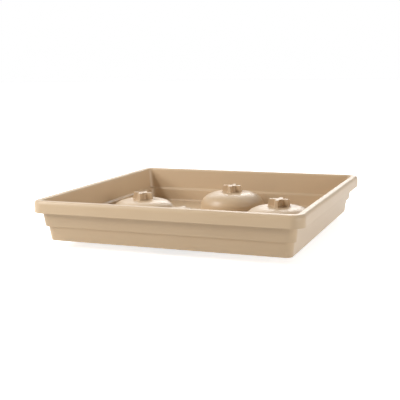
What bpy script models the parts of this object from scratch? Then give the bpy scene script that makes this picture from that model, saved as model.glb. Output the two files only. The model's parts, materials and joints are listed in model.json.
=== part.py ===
"""Rolling plant saucer: a square moulded tray whose floor rises in four domed wells, each hiding a
swivel caster with twin wheels. Metres, +Z up, the floor under the wheels at z = 0, front at -Y.
"""
from math import asin, cos, pi, radians, sin, tan

import bmesh
import bpy
from mathutils import Matrix

# Tray moulding
TRAY_WIDTH = 0.406          # across the rim, both ways
TRAY_HEIGHT = 0.0609        # base to the crest of the rim
WALL = 0.0028               # walls, floor and domes
WALL_DRAFT = radians(6.5)   # lean of the side walls
STEP_HEIGHT = 0.0219        # underside of the step, above the base
STEP_WIDTH = 0.0034         # how far the wall steps out there
LEDGE_SLOPE = 0.0036        # height over which the matching ledge inside slopes
RIM_OVERHANG = 0.0111       # face of the rim to the face of the wall, at the skirt's lower edge
RIM_DEPTH = 0.0177          # crest to the skirt's lower edge
RIM_ROUND = 0.0066          # outer rounding of the rim
RIM_INNER_ROUND = 0.0030
SKIRT_WALL = 0.0025
RIM_CORNER = 0.0160         # corner radius of the rim, in plan
WALL_CORNER = 0.0080        # corner radius of the wall's outer face, in plan
BASE_ROUND = 0.0020
FLOOR_FILLET = 0.0040

# Caster wells in the tray's floor
WELL_RADIUS = 0.0545        # outside, at the floor
WELL_WALL_GAP = 0.0108      # foot of a dome to the tray's inner wall
WELL_DEPTH = 0.0300         # base to the ceiling of the well
WELL_DRAFT = radians(5.0)
WELL_SIDE = 0.0140          # height where the drafted side turns into the shoulder
PLATEAU_RADIUS = 0.0250     # flat top of the dome
FOOT_FILLET = 0.0030
FOOT_SWEEP = radians(65)    # the foot's fillet stops short of the floor's level, so that it joins cleanly

# Ribbed socket on each dome, on which the pot stands
SOCKET_HEIGHT = 0.0140      # above the dome's flat top
SOCKET_CAP = 0.0025         # plastic left above the blind bore
HUB_RADIUS = 0.0073
RIB_REACH = 0.0153          # from the axis to a rib's end, at the top
RIB_SPREAD = 0.0026         # how much further a rib reaches at its foot
RIB_WIDTH = 0.0052

# Casters
WHEEL_DIAMETER = 0.0360
WHEEL_WIDTH = 0.0085
WHEEL_RIM = 0.0035          # tread thickness
WHEEL_HUB = 0.0050          # radius of the wheel's hub
WHEEL_POCKET = 0.0042       # depth of the hollow in the inner face
WHEEL_ROUND = 0.0016
AXLE_DIAMETER = 0.0040
AXLE_BEVEL = 0.0004
AXLE_DEPTH = 0.0060         # how far the axle enters each wheel
TRAIL = 0.0150              # stem axis to axle axis
HOOD_CLEARANCE = 0.0015     # tread to hood
HOOD_WALL = 0.0020
HOOD_SWEEP = radians(12)    # the hood ends this far above the axle's level
SPINE_WIDTH = 0.0060
SPINE_BOSS = 0.0068         # radius of the swivel boss
SPINE_FOOT = 0.0110         # underside of the swivel boss above the floor
AXLE_BOSS = 0.0050
WHEEL_GAP = 0.0008          # swivel boss to wheel
STEM_DIAMETER = 0.0080
STEM_CHAMFER = 0.0010
COLLAR_RADIUS = 0.0066
COLLAR_THICKNESS = 0.0016
RING_HEIGHT = 0.0050
RING_WALL = 0.0008
RING_OPENING = radians(40)  # the slit of the grip ring
FIT_GAP = 0.0003            # between pieces that touch
HEADINGS = {"front": 0, "right": 90, "back": 180, "left": -90}   # degrees: all trail to the middle

# Facets
CORNER_STEPS = 6
ROUND_STEPS = 3
WELL_SIDES = 28
WHEEL_SIDES = 24
STEM_SIDES = 12
SHARP_EDGE = radians(32)    # edges that turn by more than this are shaded sharp

# Heights that follow from the stack wheel, hood, collar, well
wheel_radius = WHEEL_DIAMETER / 2
hood_inner = wheel_radius + HOOD_CLEARANCE
hood_outer = hood_inner + HOOD_WALL
hood_top = wheel_radius + hood_outer
collar_bottom = hood_top + FIT_GAP
collar_top = collar_bottom + COLLAR_THICKNESS
ceiling = collar_top + FIT_GAP
base = ceiling - WELL_DEPTH
socket_bore = STEM_DIAMETER / 2 + FIT_GAP
socket_depth = WALL + SOCKET_HEIGHT - SOCKET_CAP
stem_top = ceiling + socket_depth - FIT_GAP
wheel_inner = SPINE_BOSS + WHEEL_GAP
axle_bore = AXLE_DIAMETER / 2 + FIT_GAP

# Half widths of the tray that follow from its rim
half = TRAY_WIDTH / 2
skirt_foot = TRAY_HEIGHT - RIM_DEPTH


def upper_wall(height):
    """Half width of the outer wall face above the step."""
    return half - RIM_OVERHANG - (skirt_foot - height) * tan(WALL_DRAFT)


def lower_wall(height):
    """Half width of the outer wall face below the step."""
    return upper_wall(height) - STEP_WIDTH


well_distance = lower_wall(WALL) - WALL - WELL_WALL_GAP - WELL_RADIUS


def arc(centre_u, centre_v, radius, start, end, steps=ROUND_STEPS, radius_v=None):
    """Points of an arc, or of an ellipse when radius_v is given."""
    angles = [start + (end - start) * step / steps for step in range(steps + 1)]
    return [(centre_u + radius * cos(a), centre_v + (radius_v or radius) * sin(a)) for a in angles]


def four_times(quarter, height):
    """A level loop made of one quarter's points and its three turned copies."""
    loop = []
    for _ in range(4):
        loop += [(u, v, height) for u, v in quarter]
        quarter = [(-v, u) for u, v in quarter]
    return loop


def rounded_square(half_width, corner, height):
    """One level loop round the tray, corner by corner."""
    middle = half_width - corner
    quarter = arc(middle, middle, corner, 0, pi / 2, CORNER_STEPS)
    return four_times(quarter, height)


def new_mesh(name, bm):
    bmesh.ops.remove_doubles(bm, verts=bm.verts, dist=1e-6)
    bmesh.ops.recalc_face_normals(bm, faces=bm.faces)
    mesh = bpy.data.meshes.new(name)
    bm.to_mesh(mesh)
    bm.free()
    return mesh


def loft(name, loops):
    """A closed solid through loops of equally many points, capped at both ends."""
    bm = bmesh.new()
    rings = [[bm.verts.new(point) for point in loop] for loop in loops]
    for lower, upper in zip(rings, rings[1:]):
        for i, corner in enumerate(lower):
            j = (i + 1) % len(lower)
            bm.faces.new((corner, lower[j], upper[j], upper[i]))
    bm.faces.new(rings[0])
    bm.faces.new(rings[-1])
    return new_mesh(name, bm)


def turned(name, profile, sides, sweep=2 * pi, phase=0.0):
    """A closed (radius, height) profile turned about Z; less than a full turn gets end faces."""
    bm = bmesh.new()
    rim = [bm.verts.new((r * cos(phase), r * sin(phase), z)) for r, z in profile]
    radii = [r for r, z in profile]
    count = len(profile)
    lines = [bm.edges.new((rim[i - 1], rim[i])) for i in range(count) if radii[i - 1] or radii[i]]
    full = sweep == 2 * pi
    spun = bmesh.ops.spin(bm, geom=lines, cent=(0, 0, 0), axis=(0, 0, 1), angle=sweep, steps=sides,
                          use_merge=full)
    if not full:
        bm.faces.new(rim)
        last = [edge for edge in spun["geom_last"] if isinstance(edge, bmesh.types.BMEdge)]
        bmesh.ops.contextual_create(bm, geom=last)
    return new_mesh(name, bm)


def extruded(name, outline, width):
    """A (y, z) outline given a width along X, centred on x = 0."""
    return loft(name, [[(x, y, z) for y, z in outline] for x in (-width / 2, width / 2)])


def combined(name, mesh, *steps):
    """Joins or cuts meshes, given as (operation, mesh, place), into a copy of mesh."""
    body = bpy.data.objects.new(name, mesh)
    bpy.context.collection.objects.link(body)
    tools = []
    for operation, tool_mesh, place in steps:
        tool = bpy.data.objects.new(name + "_tool", tool_mesh)
        tool.matrix_world = place
        tool.hide_render = True
        tool.display_type = "WIRE"
        bpy.context.collection.objects.link(tool)
        tools.append(tool)
        modifier = body.modifiers.new(operation, "BOOLEAN")
        modifier.operation = operation
        modifier.solver = "EXACT"
        modifier.object = tool
    evaluated = body.evaluated_get(bpy.context.evaluated_depsgraph_get())
    result = bpy.data.meshes.new_from_object(evaluated)
    for temporary in [body] + tools:
        bpy.data.objects.remove(temporary)
    result.name = name
    return result


def material(name, colour, roughness, metallic=0.0):
    made = bpy.data.materials.new(name)
    made.use_nodes = True
    shader = made.node_tree.nodes["Principled BSDF"]
    shader.inputs["Base Color"].default_value = (*colour, 1.0)
    shader.inputs["Roughness"].default_value = roughness
    shader.inputs["Metallic"].default_value = metallic
    return made


def piece(name, mesh, finish, location=(0, 0, 0), parent=None):
    """A named object of the saucer."""
    made = bpy.data.objects.new(name, mesh)
    bpy.context.collection.objects.link(made)
    made.location = location
    made.parent = parent
    if not mesh.materials:
        mesh.materials.append(finish)
        mesh.shade_smooth()
        mesh.set_sharp_from_angle(angle=SHARP_EDGE)
    return made


def tray_shell():
    """The square tray before its wells: up the outside, over the rim and down the inside."""
    skirt_in = half - SKIRT_WALL
    channel_top = TRAY_HEIGHT - WALL
    ledge_top = STEP_HEIGHT + WALL + LEDGE_SLOPE / 2
    ledge_foot = ledge_top - LEDGE_SLOPE
    inner_crest = upper_wall(TRAY_HEIGHT) - WALL
    inner_corner = WALL_CORNER - WALL
    floor_edge = lower_wall(WALL) - WALL
    outside = [(u, v, WALL_CORNER) for u, v in
               arc(lower_wall(0) - BASE_ROUND, BASE_ROUND, BASE_ROUND, -pi / 2, 0)]
    outside += [(lower_wall(STEP_HEIGHT), STEP_HEIGHT, WALL_CORNER),
                (upper_wall(STEP_HEIGHT), STEP_HEIGHT, WALL_CORNER),
                (upper_wall(channel_top), channel_top, WALL_CORNER)]
    channel_round = RIM_ROUND - SKIRT_WALL
    rim = [(u, v, RIM_CORNER - SKIRT_WALL) for u, v in
           arc(half - RIM_ROUND, TRAY_HEIGHT - RIM_ROUND, channel_round, pi / 2, 0)]
    rim += [(skirt_in, skirt_foot, RIM_CORNER - SKIRT_WALL), (half, skirt_foot, RIM_CORNER)]
    rim += [(u, v, RIM_CORNER - (half - u)) for u, v in
            arc(half - RIM_ROUND, TRAY_HEIGHT - RIM_ROUND, RIM_ROUND, 0, pi / 2, ROUND_STEPS + 1)]
    inside = [(u, v, inner_corner + u - inner_crest) for u, v in
              arc(inner_crest + RIM_INNER_ROUND, TRAY_HEIGHT - RIM_INNER_ROUND, RIM_INNER_ROUND, pi / 2, pi)]
    inside += [(upper_wall(ledge_top) - WALL, ledge_top, inner_corner),
               (lower_wall(ledge_foot) - WALL, ledge_foot, inner_corner)]
    inside += [(u, v, inner_corner) for u, v in
               arc(floor_edge - FLOOR_FILLET, WALL + FLOOR_FILLET, FLOOR_FILLET, 0, -pi / 2)]
    loops = [rounded_square(u, corner, v) for u, v, corner in outside + rim + inside]
    return loft("tray_shell", loops)


def well_profile(plateau, shoulder_u, shoulder_v, foot_height):
    """Flat top, rounded shoulder and drafted side of a dome, from the axis outwards and down."""
    shoulder = arc(plateau, WELL_SIDE, shoulder_u, pi / 2, 0, ROUND_STEPS + 2, shoulder_v)
    foot = plateau + shoulder_u + (WELL_SIDE - foot_height) * tan(WELL_DRAFT)
    return shoulder, foot


def dome():
    """Outside of a well, with its foot blended into the floor."""
    top = WELL_DEPTH + WALL
    side = WELL_RADIUS - (WELL_SIDE - WALL) * tan(WELL_DRAFT)
    shoulder, foot = well_profile(PLATEAU_RADIUS, side - PLATEAU_RADIUS, top - WELL_SIDE, WALL)
    blend = arc(foot + FOOT_FILLET, WALL + FOOT_FILLET, FOOT_FILLET, pi, pi + FOOT_SWEEP)
    lowest = WALL / 2
    profile = [(0, top)] + shoulder + blend + [(blend[-1][0], lowest), (0, lowest)]
    return turned("dome", profile, WELL_SIDES)


def well_hollow():
    """What the caster swivels in, and the blind bore for its stem."""
    side = WELL_RADIUS - (WELL_SIDE - WALL) * tan(WELL_DRAFT)
    shoulder_u = side - PLATEAU_RADIUS - WALL
    below = -STEP_HEIGHT
    shoulder, foot = well_profile(PLATEAU_RADIUS, shoulder_u, WELL_DEPTH - WELL_SIDE, below)
    bore_top = WELL_DEPTH + socket_depth
    profile = [(0, bore_top), (socket_bore, bore_top), (socket_bore, WELL_DEPTH)] + shoulder
    profile += [(foot, below), (0, below)]
    return turned("well_hollow", profile, WELL_SIDES)


def ribbed_socket():
    """A round hub with four gusset ribs, wider at the foot, closed on top."""
    root = WELL_DEPTH + WALL / 2
    top = WELL_DEPTH + WALL + SOCKET_HEIGHT
    meet = asin(RIB_WIDTH / 2 / HUB_RADIUS)
    hub = arc(0, 0, HUB_RADIUS, meet, pi / 2 - meet)
    loops = []
    for height, reach in ((root, RIB_REACH + RIB_SPREAD), (top, RIB_REACH)):
        rib = [(reach, -RIB_WIDTH / 2), (reach, RIB_WIDTH / 2)]
        loops.append(four_times(rib + hub, height))
    return loft("ribbed_socket", loops)


def rod(radius, top, foot):
    """Profile of a plain round rod or hole."""
    return [(0, top), (radius, top), (radius, foot), (0, foot)]


def caster_body():
    """Hood over both wheels, spine between them, swivel boss and axle boss."""
    reach = hood_outer - HOOD_WALL / 2
    hood_arc = (HOOD_SWEEP, pi - HOOD_SWEEP, 4 * ROUND_STEPS)
    hood_line = arc(TRAIL, wheel_radius, hood_outer, *hood_arc)
    hood_line += reversed(arc(TRAIL, wheel_radius, hood_inner, *hood_arc))
    hood = extruded("hood", hood_line, 2 * (wheel_inner + WHEEL_WIDTH))
    spine_line = arc(TRAIL, wheel_radius, reach, *hood_arc)
    spine_line += [(0, SPINE_FOOT + AXLE_BOSS / 2), (TRAIL, wheel_radius - AXLE_BOSS / 2)]
    spine = extruded("spine", spine_line, SPINE_WIDTH)
    boss = turned("boss", rod(SPINE_BOSS, hood_top, SPINE_FOOT), STEM_SIDES)
    bore_foot = SPINE_FOOT + HOOD_WALL
    above = hood_top + COLLAR_THICKNESS
    bore = turned("bore", rod(socket_bore, above, bore_foot), STEM_SIDES)
    axle_half = wheel_inner - FIT_GAP
    axle_boss = turned("axle_boss", rod(AXLE_BOSS, axle_half, -axle_half), STEM_SIDES)
    through = wheel_inner + WHEEL_WIDTH
    axle_hole = turned("axle_hole", rod(axle_bore, through, -through), STEM_SIDES)
    stays = Matrix.Identity(4)
    across = Matrix.Translation((0, TRAIL, wheel_radius)) @ Matrix.Rotation(pi / 2, 4, "Y")
    return combined("caster_body", hood, ("UNION", spine, stays), ("UNION", boss, stays),
                    ("UNION", axle_boss, across), ("DIFFERENCE", bore, stays),
                    ("DIFFERENCE", axle_hole, across))


def stem():
    """Steel pin with a collar under the well's ceiling and a groove for the grip ring."""
    radius = STEM_DIAMETER / 2
    groove = radius - RING_WALL - FIT_GAP
    groove_top = stem_top - STEM_CHAMFER - RING_WALL
    groove_foot = groove_top - RING_HEIGHT - 2 * FIT_GAP
    foot = SPINE_FOOT + HOOD_WALL + FIT_GAP
    profile = [(0, stem_top), (radius - STEM_CHAMFER, stem_top), (radius, stem_top - STEM_CHAMFER),
               (radius, groove_top), (groove, groove_top), (groove, groove_foot), (radius, groove_foot),
               (radius, collar_top), (COLLAR_RADIUS, collar_top), (COLLAR_RADIUS, collar_bottom),
               (radius, collar_bottom), (radius, foot + STEM_CHAMFER), (radius - STEM_CHAMFER, foot),
               (0, foot)]
    return turned("stem", profile, STEM_SIDES)


def grip_ring():
    """Split spring ring that bites in the socket."""
    outer = STEM_DIAMETER / 2 + FIT_GAP / 3
    inner = outer - RING_WALL
    top = stem_top - STEM_CHAMFER - RING_WALL - FIT_GAP
    foot = top - RING_HEIGHT
    profile = [(inner, top), (outer, top), (outer, foot), (inner, foot)]
    return turned("grip_ring", profile, STEM_SIDES, 2 * pi - RING_OPENING, RING_OPENING / 2)


def axle():
    """Plain steel pin through the spine, into both wheels."""
    radius = AXLE_DIAMETER / 2
    end = wheel_inner + AXLE_DEPTH - FIT_GAP
    profile = [(0, end), (radius - AXLE_BEVEL, end), (radius, end - AXLE_BEVEL),
               (radius, AXLE_BEVEL - end), (radius - AXLE_BEVEL, -end), (0, -end)]
    return turned("axle", profile, STEM_SIDES)


def wheel():
    """Solid tread and hub with a closed outer disc; the hollow and the blind bore face the spine."""
    facet = 1 / cos(pi / WHEEL_SIDES)
    tread = wheel_radius * facet
    inside_tread = wheel_radius - WHEEL_RIM
    shoulder = WHEEL_ROUND / 2
    profile = [(0, WHEEL_WIDTH), (inside_tread, WHEEL_WIDTH), (tread - WHEEL_ROUND, WHEEL_WIDTH - shoulder),
               (tread, WHEEL_WIDTH - shoulder - WHEEL_ROUND), (tread, shoulder), (tread - shoulder, 0),
               (inside_tread, 0), (inside_tread, WHEEL_POCKET), (WHEEL_HUB, WHEEL_POCKET), (WHEEL_HUB, 0),
               (axle_bore, 0), (axle_bore, AXLE_DEPTH), (0, AXLE_DEPTH)]
    return turned("wheel", profile, WHEEL_SIDES, phase=pi / WHEEL_SIDES)


for old in list(bpy.data.objects):
    bpy.data.objects.remove(old)

sand_plastic = material("sand_polypropylene", (0.53, 0.37, 0.22), 0.5)
black_nylon = material("black_nylon", (0.018, 0.018, 0.019), 0.45)
grey_tread = material("grey_tread_plastic", (0.07, 0.07, 0.072), 0.55)
zinc_steel = material("zinc_plated_steel", (0.56, 0.57, 0.58), 0.3, 1.0)

places = {"front": (0, -well_distance), "right": (well_distance, 0),
          "back": (0, well_distance), "left": (-well_distance, 0)}

dome_mesh = dome()
socket_mesh = ribbed_socket()
hollow_mesh = well_hollow()
well_steps = []
for x, y in places.values():
    spot = Matrix.Translation((x, y, 0))
    well_steps += [("UNION", dome_mesh, spot), ("UNION", socket_mesh, spot)]
    well_steps.append(("DIFFERENCE", hollow_mesh, spot))
piece("tray", combined("tray", tray_shell(), *well_steps), sand_plastic, (0, 0, base))

meshes = {"stem": stem(), "grip_ring": grip_ring(), "caster_body": caster_body(), "axle": axle(),
          "wheel": wheel()}
axle_place = (0, TRAIL, wheel_radius)
for side, (x, y) in places.items():
    piece("stem_" + side, meshes["stem"], zinc_steel, (x, y, 0))
    piece("grip_ring_" + side, meshes["grip_ring"], zinc_steel, (x, y, 0))
    swivel = bpy.data.objects.new("swivel_" + side, None)
    bpy.context.collection.objects.link(swivel)
    swivel.location = (x, y, 0)
    swivel.rotation_euler.z = radians(HEADINGS[side])
    piece("caster_body_" + side, meshes["caster_body"], black_nylon, parent=swivel)
    pin = piece("axle_" + side, meshes["axle"], zinc_steel, axle_place, swivel)
    pin.rotation_euler.y = pi / 2
    for number, turn in ((1, -pi / 2), (2, pi / 2)):
        hub_face = (wheel_inner * (1 if turn > 0 else -1), TRAIL, wheel_radius)
        roller = piece("wheel_%s_%d" % (side, number), meshes["wheel"], grey_tread, hub_face, swivel)
        roller.rotation_euler.y = turn
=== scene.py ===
"""Looks of the rolling plant saucer: sand-coloured moulded tray on four hidden swivel casters."""
import json
from math import cos, pi, radians, sin, tan

import bmesh
import bpy
from mathutils import Matrix, Vector


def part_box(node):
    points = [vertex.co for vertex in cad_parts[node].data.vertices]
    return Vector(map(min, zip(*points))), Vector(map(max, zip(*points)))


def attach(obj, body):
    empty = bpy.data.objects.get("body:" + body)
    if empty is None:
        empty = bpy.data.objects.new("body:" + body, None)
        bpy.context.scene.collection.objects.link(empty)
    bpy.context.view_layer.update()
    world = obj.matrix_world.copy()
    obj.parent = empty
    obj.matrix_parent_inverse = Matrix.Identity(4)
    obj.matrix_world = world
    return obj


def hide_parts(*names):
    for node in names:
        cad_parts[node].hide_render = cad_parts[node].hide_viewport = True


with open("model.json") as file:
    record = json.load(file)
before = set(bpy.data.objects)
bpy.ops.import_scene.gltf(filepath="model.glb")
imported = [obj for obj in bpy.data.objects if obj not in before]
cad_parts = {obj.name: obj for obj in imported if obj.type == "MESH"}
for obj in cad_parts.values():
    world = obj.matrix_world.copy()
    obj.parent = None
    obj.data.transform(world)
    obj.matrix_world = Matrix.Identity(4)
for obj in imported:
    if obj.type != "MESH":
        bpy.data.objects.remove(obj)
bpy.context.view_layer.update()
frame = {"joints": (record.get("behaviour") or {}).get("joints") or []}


# Tray: one injection moulding in sand-coloured polypropylene. Its outside is drafted and stepped, its rim is
# a rolled channel with a skirt, and its floor rises in four domes that hide the casters.
# Sizes are in millimetres from the tray's base and middle; the overall ones come from the frame.
MM = 0.001
tray_low, tray_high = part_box("tray")
base = tray_low.z
rim_half = tray_high.x / MM
rim_height = (tray_high.z - base) / MM
wall = 2.8
wall_draft = tan(radians(6.5))
step_height, step_width, ledge_slope = 21.9, 3.4, 2.2
rim_overhang, rim_depth, skirt_wall = 11.1, 17.7, 2.5
rim_corner, wall_corner = 19.5, 10.0
inner_corner = wall_corner - wall
skirt_foot = rim_height - rim_depth
channel_top = rim_height - wall
ledge_top = step_height + wall + ledge_slope / 2
ledge_foot = ledge_top - ledge_slope


def upper_wall(height):
    """Half width of the outer face above the step."""
    return rim_half - rim_overhang - (skirt_foot - height) * wall_draft


def lower_wall(height):
    """Half width of the outer face below the step."""
    return upper_wall(height) - step_width


def softened(points, steps=6):
    """A profile with eased corners, open or closed: each point ends with the length that its corner loses."""
    line = []
    for i, (*corner, ease) in enumerate(points):
        here = Vector(corner)
        if not ease:
            line.append(here)
            continue
        before = Vector(points[i - 1][:-1])
        after = Vector(points[(i + 1) % len(points)][:-1])
        start = here + (before - here).normalized() * ease
        end = here + (after - here).normalized() * ease
        for step in range(steps + 1):
            t = step / steps
            line.append(start * (1 - t) ** 2 + here * 2 * t * (1 - t) + end * t * t)
    return line


def square_loop(half, height, corner, corner_steps=14):
    """One level loop round the tray, as points in metres."""
    loop = []
    for quarter in range(4):
        turn = Matrix.Rotation(quarter * pi / 2, 3, "Z")
        for step in range(corner_steps + 1):
            a = step / corner_steps * pi / 2
            point = Vector((half - corner + corner * cos(a), half - corner + corner * sin(a), height))
            loop.append(turn @ point * MM)
    return loop


def circle_loop(radius, height, middle=(0, 0), sides=96):
    """One level ring about an upright axis, as points in metres."""
    angles = [2 * pi * side / sides for side in range(sides)]
    return [Vector((middle[0] + radius * cos(a), middle[1] + radius * sin(a), height)) * MM for a in angles]


def add_rings(bm, loops):
    """Skins loops of equally many points, and returns the first and the last ring of corners."""
    rings = [[bm.verts.new(point) for point in loop] for loop in loops]
    for lower, upper in zip(rings, rings[1:]):
        for i, corner in enumerate(lower):
            j = (i + 1) % len(lower)
            bm.faces.new((corner, lower[j], upper[j], upper[i]))
    return rings[0], rings[-1]


def fill_level(bm, *rings):
    """Fills the level area inside the first ring and round the others."""
    edges = [bm.edges.get((ring[i - 1], ring[i])) for ring in rings for i in range(len(ring))]
    bmesh.ops.triangle_fill(bm, edges=edges, use_beauty=True, normal=(0, 0, 1))


# Wall section from the base over the rim to the floor: half width, height, corner radius and easing.
# Level strips along the walls start and end it; the flats between them and the domes are filled later.
strip_width, strip_corner = 5.5, 1.0
base_edge, step_hollow, step_edge = 2.2, 0.3, 0.35
channel_inner, channel_outer, skirt_inner, skirt_outer = 1.5, 4.4, 0.7, 0.6
rim_shoulder, rim_lip = 7.2, 3.4
ledge_hollow, ledge_edge, floor_hollow = 1.2, 1.0, 4.5
tray_profile = softened([
    (lower_wall(0) - strip_width, 0, strip_corner, 0),
    (lower_wall(0), 0, wall_corner, base_edge),
    (lower_wall(step_height), step_height, wall_corner, step_hollow),
    (upper_wall(step_height), step_height, wall_corner, step_edge),
    (upper_wall(channel_top), channel_top, wall_corner, channel_inner),
    (rim_half - skirt_wall, channel_top, rim_corner - skirt_wall, channel_outer),
    (rim_half - skirt_wall, skirt_foot, rim_corner - skirt_wall, skirt_inner),
    (rim_half, skirt_foot, rim_corner, skirt_outer),
    (rim_half, rim_height, rim_corner, rim_shoulder),
    (upper_wall(rim_height) - wall, rim_height, inner_corner, rim_lip),
    (upper_wall(ledge_top) - wall, ledge_top, inner_corner, ledge_hollow),
    (lower_wall(ledge_foot) - wall, ledge_foot, inner_corner, ledge_edge),
    (lower_wall(wall) - wall, wall, inner_corner, floor_hollow),
    (lower_wall(wall) - wall - strip_width, wall, strip_corner, 0)])

# Domes, which are thicker at the crown, where the ribbed sockets stand
well_radius, well_depth, well_side, crown = 54.5, 30.0, 14.0, 2.0
well_draft = tan(radians(5.0))
plateau_radius, plateau_ring, dome_margin = 25.0, 4.0, 4.2
foot_fillet, mouth_round, bore_chamfer = 3.4, 1.0, 0.5
socket_height, socket_cap, stem_bore = 14.0, 2.5, 4.3
hub_radius, rib_reach, rib_spread, rib_width, rib_draft, tip_round = 7.3, 15.3, 2.6, 5.2, 0.25, 0.7
plateau = well_depth + wall + crown
socket_top = well_depth + wall + socket_height
dome_side = well_radius - (well_side - wall) * well_draft
mouth = dome_side - wall + well_side * well_draft
joint_places = {joint["name"]: joint["pos_m"] for joint in frame["joints"]}
casters = {side: joint_places["swivel_" + side] for side in ("front", "right", "back", "left")}


def dome_profile(side, top, steps=22):
    """Radius and height of a dome's round shoulder, from its drafted side to its flat top."""
    width, rise = side - plateau_radius, top - well_side
    angles = [pi / 2 * step / steps for step in range(steps + 1)]
    return [(plateau_radius + width * cos(a), well_side + rise * sin(a)) for a in angles]


def socket_loop(height, inset, middle, hub_steps=8):
    """Outline of the hub with its four ribs at one height, inset all round, as points in metres."""
    depth = (socket_top - height) / socket_height
    half_width = rib_width / 2 + rib_draft * depth - inset
    tip_x = rib_reach + rib_spread * depth - inset - tip_round
    tip_y = tip_round - half_width
    tip_angles = (-pi / 2, -pi / 3, -pi / 6, 0)
    near_tip = [Vector((tip_x + tip_round * cos(a), tip_y + tip_round * sin(a), height)) for a in tip_angles]
    far_tip = [Vector((p.x, -p.y, height)) for p in reversed(near_tip)]
    hub = hub_radius - inset
    meet = half_width / hub
    hub_angles = [meet + (pi / 2 - 2 * meet) * step / hub_steps for step in range(hub_steps + 1)]
    hub_arc = [Vector((hub * cos(a), hub * sin(a), height)) for a in hub_angles]
    shift = Vector((*middle, 0))
    loop = []
    for quarter in range(4):
        turn = Matrix.Rotation(quarter * pi / 2, 3, "Z")
        loop += [(turn @ point + shift) * MM for point in near_tip + far_tip + hub_arc]
    return loop


outer_dome = dome_profile(dome_side, plateau)
inner_dome = dome_profile(dome_side - wall, well_depth)
foot = softened([(well_radius + dome_margin, wall, 0), (well_radius, wall, foot_fillet), (*outer_dome[0], 0)])
outside = [*foot, *outer_dome[1:], (plateau_radius - plateau_ring, plateau)]
lip = softened([(mouth + dome_margin, 0, 0), (mouth, 0, mouth_round), (*inner_dome[0], 0)])
inside = [*lip, *inner_dome[1:], (stem_bore + bore_chamfer, well_depth),
          (stem_bore, well_depth + bore_chamfer), (stem_bore, socket_top - socket_cap)]

# Rings of a socket: the fillet as height over the dome's top and inset, the upper edge as depth and inset
socket_fillet = [(0, -1.3), (0.3, -0.6), (1.0, -0.1), (1.6, 0)]
socket_edge = [(0.6, 0), (0.18, 0.18), (0, 0.6)]
socket_rings = [(plateau + rise, inset) for rise, inset in socket_fillet]
socket_rings += [(socket_top - depth, inset) for depth, inset in socket_edge]

tray_bm = bmesh.new()
base_ring, floor_ring = add_rings(tray_bm, [square_loop(*point) for point in tray_profile])
base_rings = [base_ring]
floor_rings = [floor_ring]
for x, y, _ in casters.values():
    spot = (x / MM, y / MM)
    foot_ring, top_ring = add_rings(tray_bm, [circle_loop(r, z, spot) for r, z in outside])
    socket_ring, cap = add_rings(tray_bm, [socket_loop(z, inset, spot) for z, inset in socket_rings])
    tray_bm.faces.new(cap)
    fill_level(tray_bm, top_ring, socket_ring)
    mouth_ring, bore_end = add_rings(tray_bm, [circle_loop(r, z, spot) for r, z in inside])
    tray_bm.faces.new(bore_end)
    floor_rings.append(foot_ring)
    base_rings.append(mouth_ring)
fill_level(tray_bm, *floor_rings)
fill_level(tray_bm, *base_rings)


def placed(name, data, place=Matrix.Identity(4)):
    """A new object in the scene, at a place."""
    made = bpy.data.objects.new(name, data)
    bpy.context.scene.collection.objects.link(made)
    made.matrix_world = place
    return made


def finished(name, bm, place, sharp=35):
    """Turns a bmesh into a smooth-shaded piece at a place, with normals that favour its flats."""
    bmesh.ops.remove_doubles(bm, verts=bm.verts, dist=1e-7)
    bmesh.ops.recalc_face_normals(bm, faces=bm.faces)
    mesh = bpy.data.meshes.new(name)
    bm.to_mesh(mesh)
    bm.free()
    mesh.shade_smooth()
    mesh.set_sharp_from_angle(angle=radians(sharp))
    made = placed(name, mesh, place)
    made.modifiers.new("even_normals", "WEIGHTED_NORMAL").keep_sharp = True
    return made


def linear(hex_colour):
    """sRGB hex to a linear colour with alpha."""
    levels = [int(hex_colour[i:i + 2], 16) / 255 for i in (1, 3, 5)]
    return (*[v / 12.92 if v <= 0.04045 else ((v + 0.055) / 1.055) ** 2.4 for v in levels], 1.0)


def add(tree, kind, settings=None, inputs=None, links=None):
    """Adds a node, sets its properties and sockets, and links sockets of other nodes into it."""
    node = tree.nodes.new(kind)
    for key, value in (settings or {}).items():
        setattr(node, key, value)
    for key, value in (inputs or {}).items():
        node.inputs[key].default_value = value
    for key, socket in (links or {}).items():
        tree.links.new(socket, node.inputs[key])
    return node


def new_material(name):
    """A node material, its tree and shader, and the object's own coordinates in metres."""
    made = bpy.data.materials.new(name)
    made.use_nodes = True
    shader = made.node_tree.nodes["Principled BSDF"]
    where = add(made.node_tree, "ShaderNodeTexCoord")
    return made, made.node_tree, shader, where.outputs["Object"]


# Moulded polypropylene: satin from a fine spark-eroded mould texture, slightly mottled by the melt's flow.
# Polypropylene's IOR is 1.49; the grain is 0.35 mm on the real part and drawn at 0.9 mm so that it shows.
sand_plastic, tree, shader, where = new_material("moulded_sand_polypropylene")
flow_size, grain_size = 60 * MM, 0.9 * MM
flow = add(tree, "ShaderNodeTexNoise", inputs={"Scale": 1 / flow_size, "Detail": 3.0, "Roughness": 0.55},
           links={"Vector": where})
tone = add(tree, "ShaderNodeMix", {"data_type": "RGBA"}, {"A": linear("#c9ae8c"), "B": linear("#cfb594")},
           {"Factor": flow.outputs["Fac"]})
grain = add(tree, "ShaderNodeTexNoise", inputs={"Scale": 1 / grain_size, "Detail": 2.0, "Roughness": 0.6},
            links={"Vector": where})
gloss = add(tree, "ShaderNodeMapRange", inputs={"To Min": 0.33, "To Max": 0.45},
            links={"Value": grain.outputs["Fac"]})
bump = add(tree, "ShaderNodeBump", inputs={"Strength": 0.10, "Distance": 0.05 * MM},
           links={"Height": grain.outputs["Fac"]})
shader.inputs["IOR"].default_value = 1.49
tree.links.new(tone.outputs["Result"], shader.inputs["Base Color"])
tree.links.new(gloss.outputs["Result"], shader.inputs["Roughness"])
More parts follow.
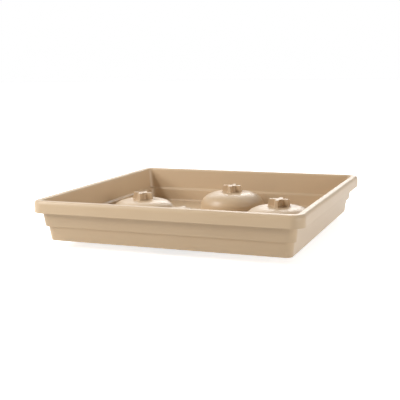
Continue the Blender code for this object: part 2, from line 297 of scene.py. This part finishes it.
tree.links.new(bump.outputs["Normal"], shader.inputs["Normal"])

tray = finished("saucer_tray", tray_bm, Matrix.Translation((0, 0, base)))
tray.data.materials.append(sand_plastic)
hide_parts("tray")
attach(tray, "tray")


# Stems: zinc-plated steel pins with a collar that bears on the well's ceiling, and a groove near the top for
# the grip ring that bites in the socket. Each is pressed in and stays with the tray.
def turned(profile, sides=64):
    """A (radius, height) profile in millimetres, turned about Z, that starts and ends on the axis."""
    bm = bmesh.new()
    add_rings(bm, [circle_loop(r, z, sides=sides) for r, z in profile])
    bmesh.ops.remove_doubles(bm, verts=bm.verts, dist=1e-6)
    return bm


# Zinc plate: a bright grey metal with a faint drawn grain along the pin
zinc_steel, tree, shader, where = new_material("zinc_plated_steel")
streak_size = 0.4 * MM
drawn = add(tree, "ShaderNodeMapping", inputs={"Scale": (1.0, 1.0, 0.15)}, links={"Vector": where})
streaks = add(tree, "ShaderNodeTexNoise", inputs={"Scale": 1 / streak_size, "Detail": 3.0},
              links={"Vector": drawn.outputs["Vector"]})
plate = add(tree, "ShaderNodeMix", {"data_type": "RGBA"}, {"A": linear("#b4b6b8"), "B": linear("#cfd0d0")},
            {"Factor": streaks.outputs["Fac"]})
polish = add(tree, "ShaderNodeMapRange", inputs={"To Min": 0.22, "To Max": 0.38},
             links={"Value": streaks.outputs["Fac"]})
shader.inputs["Metallic"].default_value = 1.0
tree.links.new(plate.outputs["Result"], shader.inputs["Base Color"])
tree.links.new(polish.outputs["Result"], shader.inputs["Roughness"])

wheel_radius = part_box("wheel_front_1")[1].z / 2 / MM
hood_clearance, hood_wall, fit_gap = 1.5, 2.0, 0.3
hood_inner = wheel_radius + hood_clearance
hood_outer = hood_inner + hood_wall
hood_top = wheel_radius + hood_outer
stem_low, stem_high = (corner.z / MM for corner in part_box("stem_front"))
stem_radius, stem_chamfer, collar_radius, collar_thickness = 4.0, 1.0, 6.6, 1.6
ring_height, ring_wall = 5.0, 0.8
groove_radius = stem_radius - ring_wall - fit_gap
groove_top = stem_high - stem_chamfer - ring_wall
groove_foot = groove_top - ring_height - 2 * fit_gap
collar_foot = hood_top + fit_gap
collar_top = collar_foot + collar_thickness
groove_edge, groove_hollow, collar_edge, collar_hollow = 0.15, 0.1, 0.4, 0.2
stem_profile = softened([
    (0, stem_high, 0),
    (stem_radius, stem_high, stem_chamfer),
    (stem_radius, groove_top, groove_edge),
    (groove_radius, groove_top, groove_hollow),
    (groove_radius, groove_foot, groove_hollow),
    (stem_radius, groove_foot, groove_edge),
    (stem_radius, collar_top, collar_hollow),
    (collar_radius, collar_top, collar_edge),
    (collar_radius, collar_foot, collar_edge),
    (stem_radius, collar_foot, collar_hollow),
    (stem_radius, stem_low, stem_chamfer),
    (0, stem_low, 0)], steps=4)
for side, (x, y, _) in casters.items():
    pin = finished("caster_stem_" + side, turned(stem_profile), Matrix.Translation((x, y, 0)))
    pin.data.materials.append(zinc_steel)
    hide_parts("stem_" + side)
    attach(pin, "tray")


# Grip rings: split rings of spring steel in the stems' grooves, rolled from strip and plated like the stems.
# Each springs open against the socket's bore and holds its caster in the tray.
ring_outer = stem_radius + fit_gap / 3
ring_inner = ring_outer - ring_wall
ring_top = groove_top - fit_gap
ring_foot = ring_top - ring_height
ring_slit, ring_steps = radians(40), 48
inner_edge, outer_edge = 0.15, 0.25
ring_profile = softened([
    (ring_inner, ring_top, inner_edge),
    (ring_outer, ring_top, outer_edge),
    (ring_outer, ring_foot, outer_edge),
    (ring_inner, ring_foot, inner_edge)], steps=3)
ring_turns = [ring_slit / 2 + (2 * pi - ring_slit) * step / ring_steps for step in range(ring_steps + 1)]
ring_loops = [[Vector((p.x * cos(a), p.x * sin(a), p.y)) * MM for p in ring_profile] for a in ring_turns]


def capped(loops):
    """A closed bmesh: skinned loops with a face on each end."""
    bm = bmesh.new()
    first, last = add_rings(bm, loops)
    bm.faces.new(last)
    bm.faces.new(first)
    return bm


for side, (x, y, _) in casters.items():
    ring = finished("grip_ring_" + side + "_spring", capped(ring_loops), Matrix.Translation((x, y, 0)))
    ring.data.materials.append(zinc_steel)
    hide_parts("grip_ring_" + side)
    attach(ring, "tray")


# Caster bodies: one black nylon moulding each, with a hood over both wheels, a spine between them, a bored
# swivel boss that turns on the stem and a boss that holds the axle.
trail, hood_sweep = 15.0, radians(12)
spine_width, spine_foot, swivel_boss, axle_boss = 6.0, 11.0, 6.8, 5.0
wheel_gap, wheel_width, axle_radius = 0.8, 8.5, 2.0
wheel_inner = swivel_boss + wheel_gap
axle_bore = axle_radius + fit_gap
axle_half = wheel_inner - fit_gap
bore_foot = spine_foot + hood_wall
hood_edge, spine_edge, boss_top_edge, boss_foot_edge, axle_boss_edge = 0.6, 0.5, 0.7, 0.9, 0.5
stem_cut_past, axle_cut_half = 5.0, 20.0


def hood_arc(radius, steps=40):
    """Points (y, z) over the wheels, from behind to ahead."""
    angles = [hood_sweep + (pi - 2 * hood_sweep) * step / steps for step in range(steps + 1)]
    return [(trail + radius * cos(a), wheel_radius + radius * sin(a)) for a in angles]


def slab(outline, width, edge, sharp=50):
    """A (y, z) outline in millimetres given a width along X, with its sharp edges rounded."""
    bm = capped([[Vector((x, y, z)) * MM for y, z in outline] for x in (-width / 2, width / 2)])
    bmesh.ops.recalc_face_normals(bm, faces=bm.faces)
    corners = [e for e in bm.edges if e.calc_face_angle() > radians(sharp)]
    bmesh.ops.bevel(bm, geom=corners, offset=edge * MM, segments=3, profile=0.5, affect="EDGES")
    return bm


def rod(radius, top, foot):
    """Profile of a plain rod."""
    return [(0, top), (radius, top), (radius, foot), (0, foot)]


def temporary(bm, place=Matrix.Identity(4)):
    """An object that a Boolean uses, removed afterwards."""
    bmesh.ops.recalc_face_normals(bm, faces=bm.faces)
    mesh = bpy.data.meshes.new("tool")
    bm.to_mesh(mesh)
    bm.free()
    return placed("tool", mesh, place)


hood_outline = hood_arc(hood_outer) + hood_arc(hood_inner)[::-1]
spine_outline = hood_arc(hood_outer - hood_wall / 2)
spine_outline += [(0, spine_foot + axle_boss / 2), (trail, wheel_radius - axle_boss / 2)]
swivel_boss_profile = softened([
    (0, hood_top, 0),
    (swivel_boss, hood_top, boss_top_edge),
    (swivel_boss, spine_foot, boss_foot_edge),
    (0, spine_foot, 0)], steps=4)
axle_boss_profile = softened([
    (0, axle_half, 0),
    (axle_boss, axle_half, axle_boss_edge),
    (axle_boss, -axle_half, axle_boss_edge),
    (0, -axle_half, 0)], steps=4)
stem_cut = rod(stem_bore, hood_top + stem_cut_past, bore_foot)
axle_cut = rod(axle_bore, axle_cut_half, -axle_cut_half)
across = Matrix.Translation(Vector((0, trail, wheel_radius)) * MM) @ Matrix.Rotation(pi / 2, 4, "Y")
hood = temporary(slab(hood_outline, 2 * (wheel_inner + wheel_width), hood_edge))
tools = [
    ("UNION", temporary(slab(spine_outline, spine_width, spine_edge))),
    ("UNION", temporary(turned(swivel_boss_profile))),
    ("UNION", temporary(turned(axle_boss_profile, sides=48), across)),
    ("DIFFERENCE", temporary(turned(stem_cut))),
    ("DIFFERENCE", temporary(turned(axle_cut, sides=48), across))]
for operation, tool in tools:
    join = hood.modifiers.new(operation, "BOOLEAN")
    join.operation = operation
    join.object = tool
body_mesh = bpy.data.meshes.new_from_object(hood.evaluated_get(bpy.context.evaluated_depsgraph_get()))
for used in [hood] + [tool for _, tool in tools]:
    bpy.data.objects.remove(used)

# Black nylon: satin, a little mottled. Its mould grain, about 0.2 mm, is drawn at 0.6 mm so that it shows.
black_nylon, tree, shader, where = new_material("moulded_black_nylon")
nylon_grain = 0.6 * MM
mottle = add(tree, "ShaderNodeTexNoise", inputs={"Scale": 1 / nylon_grain, "Detail": 2.0},
             links={"Vector": where})
soot = add(tree, "ShaderNodeMix", {"data_type": "RGBA"}, {"A": linear("#1d1d1e"), "B": linear("#29292a")},
           {"Factor": mottle.outputs["Fac"]})
sheen = add(tree, "ShaderNodeMapRange", inputs={"To Min": 0.36, "To Max": 0.5},
            links={"Value": mottle.outputs["Fac"]})
pits = add(tree, "ShaderNodeBump", inputs={"Strength": 0.12, "Distance": 0.04 * MM},
           links={"Height": mottle.outputs["Fac"]})
shader.inputs["IOR"].default_value = 1.53
tree.links.new(soot.outputs["Result"], shader.inputs["Base Color"])
tree.links.new(sheen.outputs["Result"], shader.inputs["Roughness"])
tree.links.new(pits.outputs["Normal"], shader.inputs["Normal"])

# At rest each caster trails towards the tray's middle
headings = {"front": 0, "right": 90, "back": 180, "left": -90}
swivels = {side: Matrix.Translation((x, y, 0)) @ Matrix.Rotation(radians(headings[side]), 4, "Z")
           for side, (x, y, _) in casters.items()}
for side, swivel in swivels.items():
    bm = bmesh.new()
    bm.from_mesh(body_mesh)
    body = finished("caster_hood_" + side, bm, swivel, sharp=32)
    body.data.materials.append(black_nylon)
    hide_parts("caster_body_" + side)
    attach(body, "caster_" + side)


# Axles: plain zinc-plated pins, cut from drawn wire, that go through the body's boss. Their ends are hidden
# in the wheels' blind bores.
axle_depth, pin_edge = 6.0, 0.4
axle_end = wheel_inner + axle_depth - fit_gap
axle_profile = softened([
    (0, axle_end, 0),
    (axle_radius, axle_end, pin_edge),
    (axle_radius, -axle_end, pin_edge),
    (0, -axle_end, 0)], steps=3)
for side, swivel in swivels.items():
    pin = finished("axle_pin_" + side, turned(axle_profile, sides=40), swivel @ across)
    pin.data.materials.append(zinc_steel)
    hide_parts("axle_" + side)
    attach(pin, "caster_" + side)


# Wheels: two on each caster, moulded in hard dark grey plastic. Each has a blind bore and a hollow towards
# the spine, and a closed, shallow-dished face outside.
rim_wall, hub, pocket, pocket_draft = 3.5, 5.0, 4.2, 0.3
dish, dish_slope = 0.7, 0.6
shoulder_width, shoulder_drop, shoulder_depth = 0.6, 0.3, 2.0
face_inner = wheel_radius - rim_wall
dish_floor = wheel_width - dish

# Section from the outer face's middle to the end of the bore: radius, distance from the inner face, easing
wheel_profile = softened([
    (0, wheel_width, 0),
    (hub - dish_slope, wheel_width, 0.5),
    (hub, dish_floor, 0.4),
    (face_inner - 2 * dish_slope, dish_floor, 0.4),
    (face_inner - dish_slope, wheel_width, 0.3),
    (wheel_radius - shoulder_width, wheel_width - shoulder_drop, 1.0),
    (wheel_radius, wheel_width - shoulder_depth, 0.9),
    (wheel_radius, 0, 0.8),
    (face_inner, 0, 0.3),
    (face_inner - pocket_draft, pocket, 0.5),
    (hub + pocket_draft, pocket, 0.5),
    (hub, 0, 0.3),
    (axle_bore, 0, 0.2),
    (axle_bore, axle_depth, 0.1),
    (0, axle_depth, 0)], steps=4)

# Tread plastic: dark grey and dull, with faint marks that run round the wheel, as rolling leaves them
grey_tread, tree, shader, where = new_material("hard_grey_tread_plastic")
scuff_size = 0.8 * MM
rolled = add(tree, "ShaderNodeMapping", inputs={"Scale": (0.2, 0.2, 1.0)}, links={"Vector": where})
scuff = add(tree, "ShaderNodeTexNoise", inputs={"Scale": 1 / scuff_size, "Detail": 4.0},
            links={"Vector": rolled.outputs["Vector"]})
grey = add(tree, "ShaderNodeMix", {"data_type": "RGBA"}, {"A": linear("#474849"), "B": linear("#56575a")},
           {"Factor": scuff.outputs["Fac"]})
dull = add(tree, "ShaderNodeMapRange", inputs={"To Min": 0.45, "To Max": 0.65},
           links={"Value": scuff.outputs["Fac"]})
shader.inputs["IOR"].default_value = 1.5
tree.links.new(grey.outputs["Result"], shader.inputs["Base Color"])
tree.links.new(dull.outputs["Result"], shader.inputs["Roughness"])

for side, swivel in swivels.items():
    for number, sign in ((1, -1), (2, 1)):
        hub_face = Matrix.Translation(Vector((sign * wheel_inner, trail, wheel_radius)) * MM)
        place = swivel @ hub_face @ Matrix.Rotation(sign * pi / 2, 4, "Y")
        name = "wheel_%s_%d" % (side, number)
        roller = finished("twin_" + name, turned(wheel_profile, sides=96), place)
        roller.data.materials.append(grey_tread)
        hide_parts(name)
        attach(roller, name)


# Stage: a floor of white paper that takes the saucer's shadow, under a white sky. The sky lights the saucer
# only faintly; the camera, reflections and glass see it as white, and the floor too.
def shown_white(tree, to_camera):
    """A white's strength: full for reflections and glass, to_camera for the camera, none for other rays."""
    ray = add(tree, "ShaderNodeLightPath")
    shown = add(tree, "ShaderNodeMath", {"operation": "MULTIPLY"}, {1: to_camera},
                {0: ray.outputs["Is Camera Ray"]})
    for path in ("Is Glossy Ray", "Is Transmission Ray"):
        shown = add(tree, "ShaderNodeMath", {"operation": "MAXIMUM"},
                    links={0: shown.outputs["Value"], 1: ray.outputs[path]})
    return shown.outputs["Value"]


floor_reach = 12.0
floor_corners = [(x * floor_reach, y * floor_reach, 0) for x, y in ((-1, -1), (1, -1), (1, 1), (-1, 1))]
floor_mesh = bpy.data.meshes.new("studio_floor")
floor_mesh.from_pydata(floor_corners, [], [(0, 1, 2, 3)])
floor = placed("studio_floor", floor_mesh)

# White paper: matt. Light on it adds to its glow, so that lit paper is white and shaded paper slightly grey.
paper = bpy.data.materials.new("white_paper_sweep")
paper.use_nodes = True
tree = paper.node_tree
shader = tree.nodes["Principled BSDF"]
shader.inputs["Base Color"].default_value = linear("#f2f2f0")
shader.inputs["Roughness"].default_value = 0.9
paper_glow = 0.75
glow = add(tree, "ShaderNodeEmission", inputs={"Color": linear("#ffffff")},
           links={"Strength": shown_white(tree, paper_glow)})
blend = add(tree, "ShaderNodeAddShader", links={0: shader.outputs["BSDF"], 1: glow.outputs["Emission"]})
tree.links.new(blend.outputs["Shader"], tree.nodes["Material Output"].inputs["Surface"])
floor_mesh.materials.append(paper)

world = bpy.data.worlds.new("white_studio")
bpy.context.scene.world = world
world.use_nodes = True
tree = world.node_tree
sky = tree.nodes["Background"]
sky.inputs["Color"].default_value = linear("#ffffff")
sky_light, sky_white = 0.02, 1.0
sky_level = add(tree, "ShaderNodeMix", {"data_type": "FLOAT"}, {"A": sky_light, "B": sky_white},
                {"Factor": shown_white(tree, 1.0)})
tree.links.new(sky_level.outputs["Result"], sky.inputs["Strength"])


# Lights: a softbox near the front left, made of three discs, throws the left wall's shadow on the back wall
# and fades towards the right. Far lamps behind lift the tops, the low one giving the domes their sheen, and a
# low lamp on the right lifts the right wall and rounds the front corner.
def lamp(name, level, spread, azimuth, elevation, distance=0):
    """A disc at a distance in metres, or else a far sun; angles are in degrees, and azimuth 0 is in front.

    A level of 1 lights a white surface that faces the lamp to white."""
    turn, rise = radians(azimuth), radians(elevation)
    towards = Vector((sin(turn) * cos(rise), -cos(turn) * cos(rise), sin(rise)))
    data = bpy.data.lights.new(name, "AREA" if distance else "SUN")
    if distance:
        data.shape = "DISK"
        data.size = 2 * distance * tan(radians(spread / 2))
        data.energy = level * pi ** 2 * distance ** 2
    else:
        data.energy = level * pi
        data.angle = radians(spread)
    made = placed(name, data)
    made.location = towards * distance
    made.rotation_euler = towards.to_track_quat("Z", "Y").to_euler()


# Level, spread, azimuth and elevation of each lamp, and the softbox's distance
softbox_distance = 2.2
lamp("softbox_top", 0.45, 7, -60, 45, softbox_distance)
lamp("softbox_low_left", 0.22, 16, -60, 25, softbox_distance)
lamp("softbox_low_right", 0.20, 16, -45, 25, softbox_distance)
lamp("left_back", 0.12, 30, -150, 35)
lamp("back_low", 0.17, 20, 191, 25)
lamp("back_top", 0.10, 40, 180, 60)
lamp("right_back", 0.12, 30, 120, 50)
lamp("right_side", 0.62, 40, 73, 4)

# Camera: a 71 mm lens at the photograph's low three-quarter view, a little rolled and shifted. Its place was
# fitted to the tray's edges.
lens = bpy.data.cameras.new("camera")
lens.lens = 71.09
lens.sensor_width = 36
lens.shift_x = 0.035
camera = placed("camera", lens)
camera.location = (0.4378, -1.1654, 0.2602)
camera.rotation_euler = (radians(80.484), radians(0.913), radians(22.110))
bpy.context.scene.camera = camera
bpy.context.scene.view_settings.view_transform = "Standard"
